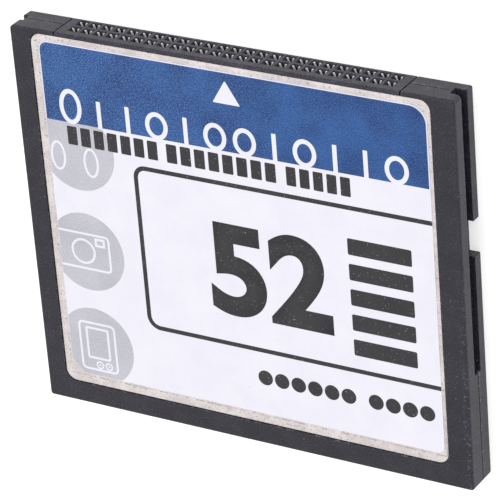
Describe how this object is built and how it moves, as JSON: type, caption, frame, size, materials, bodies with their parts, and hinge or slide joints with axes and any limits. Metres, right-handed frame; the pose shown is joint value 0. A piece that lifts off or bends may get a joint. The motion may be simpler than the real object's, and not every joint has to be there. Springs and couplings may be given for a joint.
{
  "type": "flash memory card",
  "caption": "Flat memory card with two dark plastic half frames, steel covers, a labelled face, side guide grooves and two rows of sockets along one end.",
  "frame": {"origin": "centre of the back face, on which the card lies", "axes": "+X across the card, +Y towards the socket end, +Z out of the labelled face"},
  "size_m": [0.0428, 0.0364, 0.0033],
  "materials": {
    "frame_plastic": "fine matt moulding, near-black grey",
    "cover_steel": "pale satin sheet, slightly scuffed",
    "label_film": "printed film, white with a blue band",
    "insulator_film": "amber film",
    "housing_plastic": "matt moulding, dark grey",
    "contact_metal": "plated spring metal",
    "board_laminate": "green solder mask",
    "chip_resin": "moulded resin",
    "lead_metal": "tinned leads",
    "capacitor_ceramic": "tan ceramic with tinned ends",
    "resistor_ceramic": "dark glazed ceramic with tinned ends",
    "reservoir_resin": "ochre moulded resin",
    "crystal_ceramic": "brown ceramic tray"
  },
  "bodies": {
    "root": {"front_frame": "frame_plastic", "back_frame": "frame_plastic", "front_cover": "cover_steel", "back_cover": "cover_steel", "front_label": "label_film", "front_insulator": "insulator_film", "back_insulator": "insulator_film", "connector_housing": "housing_plastic", "front_row_contacts": "contact_metal", "back_row_contacts": "contact_metal", "circuit_board": "board_laminate", "memory_chip": "chip_resin", "controller_chip": "chip_resin", "voltage_regulator": "chip_resin", "memory_leads": "lead_metal", "controller_leads": "lead_metal", "regulator_leads": "lead_metal", "front_capacitors": "capacitor_ceramic", "back_capacitors": "capacitor_ceramic", "resistors": "resistor_ceramic", "resistor_arrays": "resistor_ceramic", "reservoir_capacitor": "reservoir_resin", "crystal": "crystal_ceramic", "crystal_lid": "lead_metal"}
  },
  "joints": []
}
